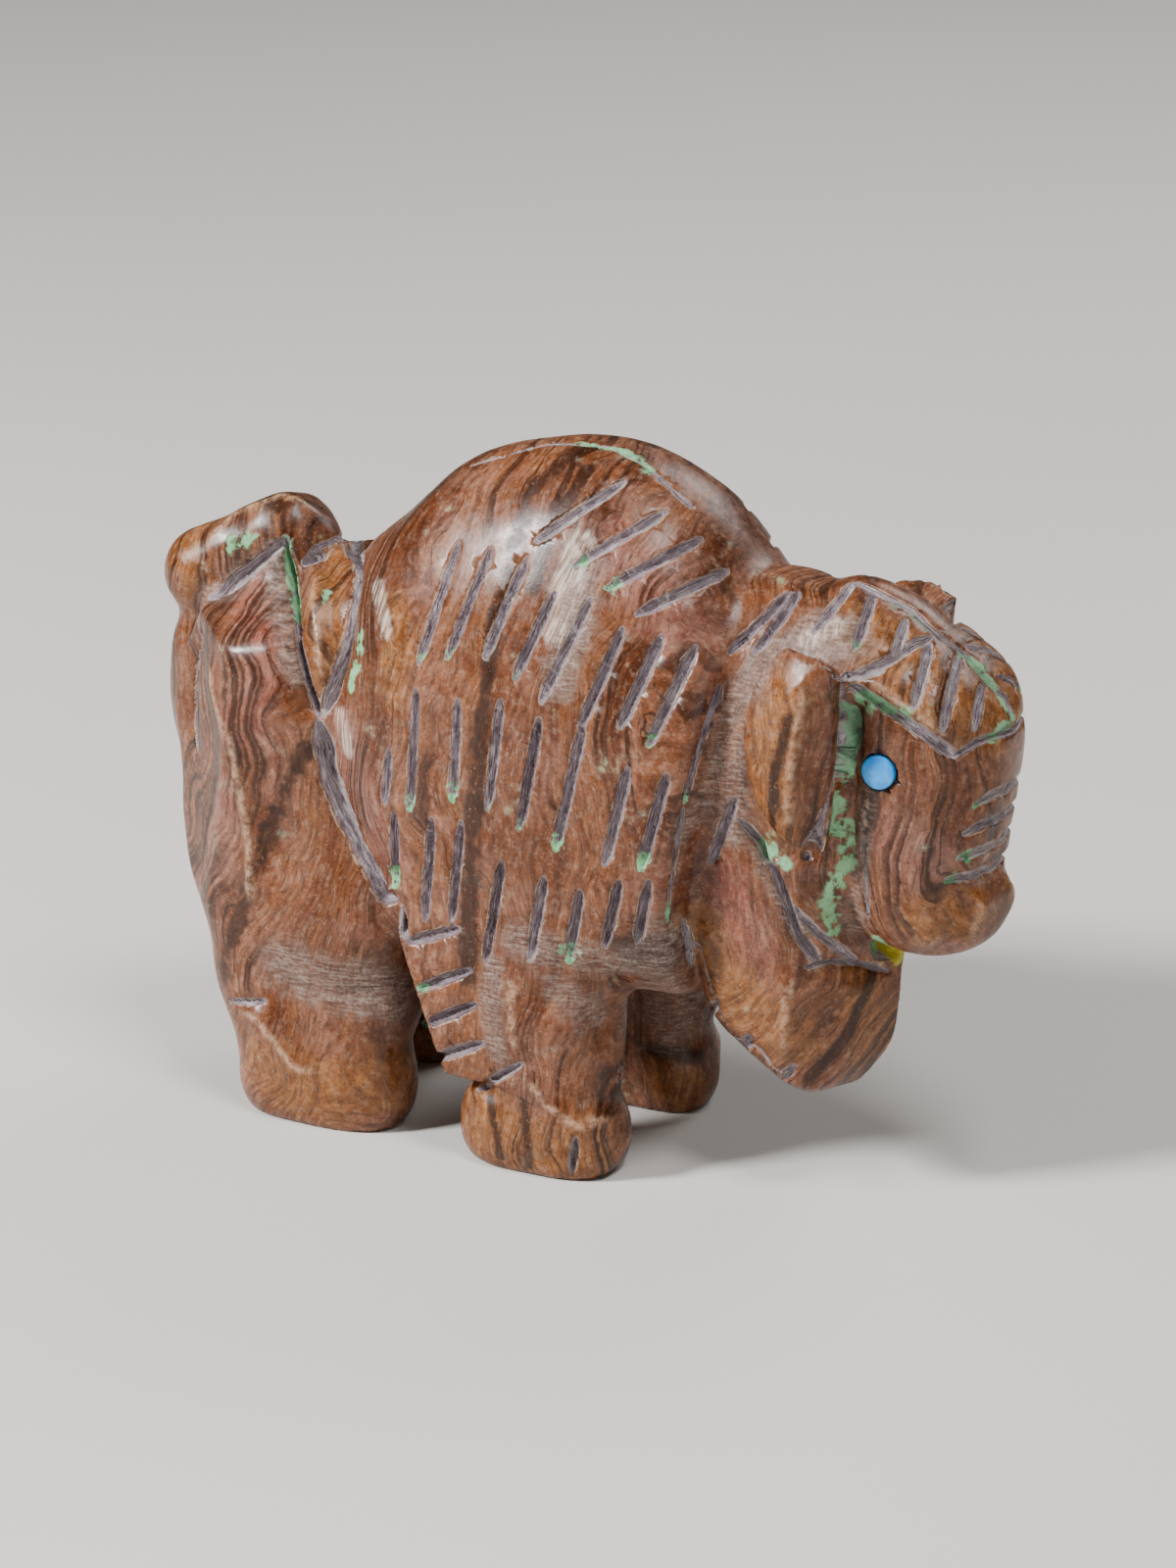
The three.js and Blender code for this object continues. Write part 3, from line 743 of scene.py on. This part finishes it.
def hand_work(points):
    """The slight unevenness of a surface that was ground and polished by hand."""
    random = np.random.default_rng(5)
    total = np.zeros(len(points))
    for length in (11, 9, 7, 6, 5, 4, 3.4, 2.8):
        direction = random.normal(size=3)
        wave = points @ (direction / np.linalg.norm(direction)) * 2 * np.pi / length
        total += 0.0035 * length * np.sin(wave + random.uniform(0, 6))
    return total


# How wide the pale line along each ridge's crest is: worn stone, and in part a painted highlight.
WEAR_AND_HIGHLIGHT_WIDTH = 0.6


def carved(points, normals, grooves):
    """The points moved in along the normals by the engraving, and what the material needs to know
    at each: how far inside a groove it is and how far along it, and where green is left."""
    depth, low, high, inside, along, green, tone, wear_and_highlight = (np.zeros(len(points)) for _ in range(8))
    for number, groove in enumerate(grooves):
        near = close_to(points, groove.path, max(groove.half_width * 2, groove.beside))
        if not len(near):
            continue
        distance, rim, _, from_start, to_end = groove.measure(points[near])
        end = np.minimum(from_start, to_end)
        slope = np.clip(1 - distance / groove.beside, 0, 1) ** 1.5
        if groove.half_width or groove.fall < 0:
            slope *= np.clip(0.2 + end / 2.5, 0, 1)
        low[near] = np.maximum(low[near], groove.fall * slope)
        high[near] = np.maximum(high[near], -groove.fall * slope)
        # Along each ridge's crest, a pale line: wear, and in part a painted highlight.
        if groove.fall < 0:
            wear_and_highlight[near] = np.maximum(wear_and_highlight[near], np.clip(1 - distance / WEAR_AND_HIGHLIGHT_WIDTH, 0, 1) * np.clip(end / 1.5, 0, 1))
        if not groove.half_width:
            continue
        share = distance / rim
        cut = groove.depth * np.clip((1 - share) * 1.5, 0, 1) * np.clip(0.45 + end, 0, 1)
        depth[near] = np.maximum(depth[near], cut)
        deeper = 2 - share > inside[near]
        inside[near[deeper]] = 2 - share[deeper]
        along[near[deeper]] = from_start[deeper] + 20 * number
        tone[near[deeper]] = groove.tone
        left = np.clip(1.5 - to_end / 0.9, 0, 1) * np.clip(1.7 - share, 0, 1) * groove.green
        green[near] = np.maximum(green[near], left)
    across = eye_distance(points)
    socket = SOCKET_DEPTH * np.clip((EYE_RADIUS + GLUE_WIDTH - across) / 0.1, 0, 1)
    glue = np.clip(1 - np.abs(across - EYE_RADIUS - GLUE_WIDTH / 2) / 0.16, 0, 1)
    by_eye = np.clip((across - EYE_RADIUS) / 0.8, 0, 1)
    total = depth + socket + (low - high + hand_work(points)) * by_eye
    values = {"inside": inside, "along": along, "green": green, "tone": tone, "wear_and_highlight": wear_and_highlight, "glue": glue}
    return points - total[:, None] * normals, values


def patch_lines():
    """The lines of all changes of colour or finish, and of painted light and shade: name, whether it has a mirror
    image, line and reach. Those with a mirror image lie on the left side."""
    every = {**PATCHES, **SINGLE_PATCHES}
    paths = iter(cast_lines([pixels for lines in every.values() for pixels, _ in lines]))
    made = []
    for name, lines in every.items():
        for _, reach in lines:
            path = next(paths)
            made.append((name, name in PATCHES, folded(path) if name in PATCHES else path, reach))
    return made


def patches(points, lines):
    """How much of each change of colour, finish, painted light and painted shade there is at each point: all within
    half its reach of its line, half of it at its reach, none beyond one and a half times that."""
    values = {name: np.zeros(len(points)) for name, *_ in lines}
    side = folded(points)
    for name, both, path, reach in lines:
        place = side if both else points
        near = close_to(place, path, 1.5 * reach)
        distance = np.linalg.norm(place[near] - nearest_on(place[near], path)[0], axis=1)
        values[name][near] = np.maximum(values[name][near], np.clip(1.5 - distance / reach, 0, 1))
    return values


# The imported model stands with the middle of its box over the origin, so its eye gives the shift.
eye_low, eye_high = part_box("right_eye_inlay")
SHIFT = np.array(((eye_low.x + eye_high.x) * 500 - EYE_AT[0] + 0.6 * EYE_FACING[0], 0, 0))


def to_row_frame(points):
    return (points + SHIFT) / 1000


def mesh_object(name, points, triangles, material, replaces):
    mesh = bpy.data.meshes.new(name)
    mesh.vertices.add(len(points))
    mesh.vertices.foreach_set("co", to_row_frame(points).astype(np.float32).ravel())
    mesh.loops.add(triangles.size)
    mesh.loops.foreach_set("vertex_index", triangles.astype(np.int32).ravel())
    mesh.polygons.add(len(triangles))
    mesh.polygons.foreach_set("loop_start", np.arange(0, triangles.size, 3, dtype=np.int32))
    mesh.polygons.foreach_set("use_smooth", np.ones(len(triangles), bool))
    mesh.update(calc_edges=True)
    mesh.validate()
    mesh.materials.append(material)
    thing = bpy.data.objects.new(name, mesh)
    bpy.context.scene.collection.objects.link(thing)
    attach(thing, "root")
    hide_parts(replaces)
    return thing


def add_values(thing, name, values):
    attribute = thing.data.attributes.new(name, "FLOAT", "POINT")
    attribute.data.foreach_set("value", values.astype(np.float32))


class Shader:
    """A material's nodes. Each call adds one and gives its first output."""

    def __init__(self, name):
        self.material = bpy.data.materials.new(name)
        self.material.use_nodes = True
        self.tree = self.material.node_tree
        self.surface = self.tree.nodes["Principled BSDF"]

    def node(self, kind, inputs=None, output=0, **settings):
        made = self.tree.nodes.new("ShaderNode" + kind)
        for name, value in settings.items():
            setattr(made, name, value)
        for name, value in (inputs or {}).items():
            self.put(made.inputs[name], value)
        return made.outputs[output]

    def put(self, socket, value):
        if isinstance(value, bpy.types.NodeSocket):
            self.tree.links.new(value, socket)
        else:
            socket.default_value = value

    def set(self, **values):
        for name, value in values.items():
            self.put(self.surface.inputs[name.replace("_", " ")], value)

    def math(self, operation, *values, clamp=False):
        return self.node("Math", dict(enumerate(values)), operation=operation, use_clamp=clamp)

    def add(self, a, b):
        return self.math("ADD", a, b)

    def times(self, a, b):
        return self.math("MULTIPLY", a, b)

    def value(self, name):
        return self.node("Attribute", attribute_name=name, output=2)

    def noise(self, place, scale, detail=3.0, roughness=0.55, distortion=0.0, output=0):
        return self.node("TexNoise", {"Vector": place, "Scale": scale, "Detail": detail, "Roughness": roughness,
                                      "Distortion": distortion}, output=output)

    def line_noise(self, along, detail=3.0, roughness=0.55):
        return self.node("TexNoise", {"W": along, "Scale": 1.0, "Detail": detail, "Roughness": roughness},
                         noise_dimensions="1D")

    def step(self, value, low, high, start=0.0, end=1.0):
        return self.node("MapRange", {"Value": value, "From Min": low, "From Max": high, "To Min": start,
                                      "To Max": end}, interpolation_type="SMOOTHSTEP")

    def mix(self, share, a, b, blend="MIX"):
        made = self.tree.nodes.new("ShaderNodeMix")
        made.data_type = "RGBA"
        made.blend_type = blend
        self.put(made.inputs[0], share)
        self.put(made.inputs[6], a)
        self.put(made.inputs[7], b)
        return made.outputs[2]

    def ramp(self, value, *stops):
        made = self.tree.nodes.new("ShaderNodeValToRGB")
        elements = made.color_ramp.elements
        while len(elements) < len(stops):
            elements.new(0.5)
        for element, (at, colour) in zip(elements, stops):
            element.position = at
            element.color = colour
        self.put(made.inputs[0], value)
        return made.outputs[0]


def colour(text):
    """A colour from its usual six hexadecimal digits, in linear light."""
    parts = [int(text[i:i + 2], 16) / 255 for i in (0, 2, 4)]
    return (*[part / 12.92 if part <= 0.04045 else ((part + 0.055) / 1.055) ** 2.4 for part in parts], 1)


def stone_material():
    shader = Shader("banded stone")
    place = shader.node("VectorMath", {0: shader.node("TexCoord", output=3), "Scale": 1000.0}, operation="SCALE")
    inside, along, green, tone = (shader.value(name) for name in ("inside", "along", "green", "tone"))
    wear_and_highlight, glue, band = (shader.value(name) for name in ("wear_and_highlight", "glue", "band"))
    across_layers, up_layers = (shader.node("SeparateXYZ", {0: place}, output=axis) for axis in (1, 2))

    coarse = shader.noise(place, 0.07, 2)
    middle = shader.noise(place, 0.3, 3)
    fine = shader.noise(place, 1.1, 4, 0.6)
    specks = shader.noise(place, 4.0, 3, 0.7)
    dust = shader.noise(place, 1.7, 6, 0.75)
    flowing = shader.add(band, shader.times(coarse, 11.0))
    waved = shader.add(flowing, shader.add(shader.times(middle, 1.0), shader.times(fine, 0.35)))

    layers = shader.line_noise(shader.times(waved, 0.3), 4, 0.6)
    base = shader.ramp(layers, (0.32, colour("4a2412")), (0.42, colour("65361d")), (0.5, colour("78472c")),
                       (0.58, colour("8a5636")), (0.68, colour("774521")))
    blotch = shader.step(shader.noise(place, 0.2, 5, 0.65, 0.4), 0.42, 0.62, 0, 0.65)
    base = shader.mix(blotch, base, colour("946450"))
    rust = shader.step(shader.noise(place, 0.5, 5, 0.65, 0.3), 0.5, 0.66, 0, 0.65)
    base = shader.mix(rust, base, colour("6f370b"))

    edge = shader.times(shader.add(shader.add(fine, middle), -1.0), 1.1)
    patch = {name: shader.add(shader.value(name), edge) for name in (*PATCHES, *SINGLE_PATCHES)}
    base = shader.mix(shader.step(patch["orange"], 0.1, 1.0, 0, 0.7), base, shader.ramp(
        fine, (0.3, colour("7a4818")), (0.5, colour("9a6232")), (0.7, colour("b07c4a"))))
    base = shader.mix(shader.step(patch["pink"], 0.1, 1.0, 0, 0.65), base, shader.ramp(
        middle, (0.35, colour("935044")), (0.6, colour("a87a6c"))))
    base = shader.mix(shader.step(dust, 0.48, 0.66, 0, 0.5), base, colour("a98670"))
    base = shader.mix(shader.step(dust, 0.47, 0.34, 0, 0.5), base, colour("4a2410"))

    grain_place = shader.node("CombineXYZ", {0: shader.times(flowing, 2.8), 1: shader.times(across_layers, 0.6),
                                             2: shader.times(up_layers, 0.6)})
    grain = shader.noise(grain_place, 1.0, 5, 0.7, 0.3)
    base = shader.mix(0.8, base, shader.ramp(grain, (0.34, colour("857b74")), (0.5, colour("d0cbc6")),
                                             (0.64, colour("ffffff"))), "MULTIPLY")
    vein_noise = shader.line_noise(shader.times(waved, 0.36), 3, 0.5)
    vein_and_shade = shader.step(shader.math("ABSOLUTE", shader.add(vein_noise, -0.5)), 0.0, 0.05, 1, 0)
    vein_and_shade = shader.times(vein_and_shade, shader.step(coarse, 0.44, 0.56, 0.1, 0.9))
    thread_noise = shader.line_noise(shader.times(waved, 0.9), 2, 0.5)
    thread = shader.step(shader.math("ABSOLUTE", shader.add(thread_noise, -0.5)), 0.0, 0.04, 1, 0)
    thread = shader.times(thread, shader.step(dust, 0.4, 0.62, 0.0, 0.7))
    vein_and_shade = shader.math("MAXIMUM", vein_and_shade, thread)
    # The dark patches join the veins: dark stone, and the painted shade under the belly.
    vein_and_shade = shader.math("MAXIMUM", vein_and_shade, shader.step(patch["dark_veins_and_shade"], 0.25, 0.9, 0, 0.9))
    base = shader.mix(vein_and_shade, base, shader.ramp(grain, (0.35, colour("1d0d06")), (0.6, colour("33190d")),
                                              (0.72, colour("5c3a18"))))
    base = shader.mix(shader.step(specks, 0.6, 0.68, 0, 0.75), base, colour("2a140a"))
    base = shader.mix(shader.step(specks, 0.38, 0.3, 0, 0.35), base, colour("b08a6a"))

    scratch_place = shader.node("CombineXYZ", {0: shader.times(band, 0.8), 1: across_layers, 2: shader.times(up_layers, 5.0)})
    scratches = shader.noise(scratch_place, 1.0, 4, 0.7)
    rough_colour = shader.ramp(shader.add(shader.times(scratches, 0.6), shader.times(specks, 0.4)),
                               (0.4, colour("3d2c25")), (0.5, colour("75625a")), (0.6, colour("a5958a")))
    rough = shader.step(patch["grey"], 0.15, 1.15, 0, 0.6)
    base = shader.mix(rough, base, rough_colour)
    # Pale silky streaks: whitish stone, and on the hump in part a painted highlight.
    silk_place = shader.node("CombineXYZ", {0: shader.times(band, 3.5), 1: across_layers, 2: shader.times(up_layers, 0.25)})
    silk = shader.noise(silk_place, 1.0, 3, 0.6)
    base = shader.mix(shader.times(shader.step(patch["pale"], 0.1, 1.1), shader.step(silk, 0.4, 0.62, 0.1, 0.75)),
                      base, colour("d2c2b2"))
    # Pale crests of the ridges: in part wear, in part a painted highlight.
    base = shader.mix(shader.times(shader.step(wear_and_highlight, 0.2, 1.0), shader.step(dust, 0.4, 0.6, 0.1, 0.6)), base,
                      colour("c09c80"))

    streak_place = shader.node("CombineXYZ", {0: shader.times(along, 0.7), 1: shader.times(inside, 7.0), 2: 0.0})
    streaks = shader.add(shader.noise(streak_place, 1.0, 4, 0.7), shader.times(tone, 0.16))
    floor_colour = shader.ramp(streaks, (0.36, colour("241b20")), (0.5, colour("5d5058")), (0.62, colour("8d8188")),
                               (0.74, colour("bdb3b0")))
    floor = shader.step(shader.add(inside, shader.times(shader.add(specks, -0.5), 0.25)), 1.02, 1.22)
    # A pale line along each groove's rim: partly chipped stone, partly a painted highlight of the edge.
    rim = shader.step(shader.math("ABSOLUTE", shader.add(inside, -0.98)), 0.0, 0.12, 1, 0)
    rim = shader.times(rim, shader.step(fine, 0.4, 0.6, 0.0, 0.75))
    base = shader.mix(rim, base, colour("b79f86"))
    base = shader.mix(shader.times(floor, 0.9), base, floor_colour)

    left = shader.times(green, shader.step(shader.noise(place, 1.9, 4, 0.65), 0.4, 0.56))
    smudge = shader.math("MAXIMUM", patch["smudge"], patch["ridge_green"])
    smudge = shader.times(smudge, shader.step(fine, 0.36, 0.54, 0.35, 1.0))
    left = shader.math("MAXIMUM", shader.step(left, 0.12, 0.3), shader.step(smudge, 0.25, 0.75, 0, 0.85))
    base = shader.mix(left, base, shader.ramp(fine, (0.35, colour("4f8a5c")), (0.6, colour("86b88c"))))
    base = shader.mix(shader.step(patch["yellow"], 0.3, 0.8), base, colour("a89a28"))
    base = shader.mix(glue, base, colour("2a211d"))

    dull = shader.math("MAXIMUM", shader.math("MAXIMUM", floor, left), rough)
    roughness = shader.math("ADD", shader.step(fine, 0.3, 0.7, 0.24, 0.4), shader.times(dull, 0.4), clamp=True)
    relief = shader.add(shader.times(specks, shader.step(dull, 0, 1, 0.1, 1.0)), shader.times(grain, 0.12))
    relief = shader.add(relief, shader.times(shader.times(streaks, floor), 0.8))
    bump = shader.node("Bump", {"Height": relief, "Strength": 0.6, "Distance": 0.00015})
    shader.set(Base_Color=base, Roughness=roughness, Normal=bump, IOR=1.5, Specular_IOR_Level=0.3)
    return shader.material


def turquoise_material(name):
    shader = Shader(name)
    place = shader.node("VectorMath", {0: shader.node("TexCoord", output=3), "Scale": 1000.0}, operation="SCALE")
    cloud = shader.noise(place, 0.9, 3, 0.5)
    base = shader.ramp(cloud, (0.35, colour("0e7fd8")), (0.55, colour("1f93e6")), (0.7, colour("3fa9ee")))
    fine = shader.noise(place, 9.0, 3, 0.6)
    base = shader.mix(shader.step(fine, 0.6, 0.75, 0, 0.35), base, colour("2a7fc0"))
    bump = shader.node("Bump", {"Height": fine, "Strength": 0.25, "Distance": 0.00005})
    shader.set(Base_Color=base, Roughness=shader.step(fine, 0.3, 0.7, 0.28, 0.4), Normal=bump)
    return shader.material


def band_position(points):
    """Where each point lies across the stone's layers. They stand nearly upright, and lean on the
    hump, in the thigh and in the beard."""
    x, y, z = points.T
    on_hump = np.clip((x + 16) / 4, 0, 1) * np.clip((14 - x) / 4, 0, 1)
    lean = 0.35 * (51 - np.maximum(z, 38)) * on_hump
    lean += 0.35 * np.maximum(28 - z, 0) * np.clip((-12 - x) / 4, 0, 1)
    lean += 0.6 * np.maximum(16 - z, 0) * np.clip((x - 10) / 4, 0, 1)
    return x + 0.12 * y + lean


def carved_stone():
    grooves = all_grooves()
    lines = patch_lines()
    points, triangles = surface_mesh(stone, GRID_LOW, GRID_HIGH, CELL)
    points, triangles = refined(points, triangles, lambda points, edges: too_long(points, edges, grooves, lines), 3)
    points = settled(points, 2)[0]
    points, normals = settled(snapped(points, triangles, grooves), 1)
    values = {"band": band_position(points), **patches(points, lines)}
    points, engraved = carved(points, normals, grooves)
    thing = mesh_object("carved_stone", points, triangles, stone_material(), "bison")
    for name, amounts in {**values, **engraved}.items():
        add_values(thing, name, amounts)
    return thing


def eye(name, side, replaces):
    """A turquoise disc with a low dome and a rounded edge, let into the cheek."""
    turns, edge = 48, 0.14
    bend = np.linspace(0, np.pi / 2, 5)
    profile = [(0, EYE_DOME)] + [(EYE_RADIUS * share, EYE_DOME * (1 - share ** 2) + 0.02) for share in (0.3, 0.6, 0.8)]
    profile += [(EYE_RADIUS - edge + edge * np.sin(a), edge * np.cos(a) - edge + 0.05) for a in bend]
    profile += [(EYE_RADIUS, -EYE_DEPTH), (0, -EYE_DEPTH)]
    facing = EYE_FACING * (1, side, 1)
    up = np.cross(facing, (1, 0, 0))
    up /= np.linalg.norm(up)
    across = np.cross(up, facing)
    centre = EYE_AT * (1, side, 1)
    angles = np.linspace(0, 2 * np.pi, turns, endpoint=False)
    ring = np.outer(np.cos(angles), across) + np.outer(np.sin(angles), up)
    points = [centre + facing * profile[0][1]]
    for radius, height in profile[1:-1]:
        points += list(centre + ring * radius + facing * height)
    points.append(centre + facing * profile[-1][1])
    triangles = []
    last = len(points) - 1
    for i in range(turns):
        j = (i + 1) % turns
        triangles.append((0, 1 + i, 1 + j))
        for level in range(len(profile) - 3):
            a, b = 1 + level * turns, 1 + (level + 1) * turns
            triangles += [(a + i, b + i, b + j), (a + i, b + j, a + j)]
        triangles.append((last - turns + i, last, last - turns + j))
    return mesh_object(name, np.array(points), np.array(triangles), turquoise_material(name + " turquoise"), replaces)


def area_light(name, at, aim, size, power):
    data = bpy.data.lights.new(name, "AREA")
    data.shape = "DISK"
    data.size = size
    data.energy = power
    light = bpy.data.objects.new(name, data)
    light.location = at
    direction = Vector(aim) - Vector(at)
    light.rotation_euler = direction.to_track_quat("-Z", "Y").to_euler()
    bpy.context.scene.collection.objects.link(light)


def stage():
    shader = Shader("pale floor")
    place = shader.node("TexCoord", output=3)
    cloud = shader.noise(place, 6.0, 3)
    shader.set(Base_Color=shader.ramp(cloud, (0.3, colour("cac7c2")), (0.7, colour("d0cdc8"))), Roughness=0.8)
    bpy.ops.mesh.primitive_plane_add(size=6, location=(0, 0, 0))
    floor = bpy.context.object
    floor.name = "pale_floor"
    floor.data.materials.append(shader.material)
    world = bpy.data.worlds.new("studio")
    bpy.context.scene.world = world
    world.use_nodes = True
    world.node_tree.nodes["Background"].inputs["Color"].default_value = colour("e2e0dc")
    world.node_tree.nodes["Background"].inputs["Strength"].default_value = 0.08
    target = (0, 0, 0.026)
    area_light("key", (-0.34, -0.36, 0.36), target, 0.12, 7.5)
    area_light("top", (0.18, -0.12, 0.5), target, 0.16, 1.8)
    area_light("fill", (0.42, -0.3, 0.12), target, 0.3, 0.4)
    area_light("back", (0.1, 0.4, 0.35), target, 0.3, 1.2)


def camera():
    data = bpy.data.cameras.new("photo camera")
    data.sensor_fit = "AUTO"
    data.sensor_width = 36
    data.lens = 36 * FOCAL_PIXELS / PHOTO_HEIGHT
    data.clip_start = 0.01
    thing = bpy.data.objects.new("photo_camera", data)
    turn = Matrix((CAMERA_RIGHT, CAMERA_UP, CAMERA_BACK)).transposed()
    thing.matrix_world = Matrix.Translation(to_row_frame(CAMERA_AT)) @ turn.to_4x4()
    bpy.context.scene.collection.objects.link(thing)
    bpy.context.scene.camera = thing


carved_stone()
eye("right_eye", -1, "right_eye_inlay")
eye("left_eye", 1, "left_eye_inlay")
stage()
camera()
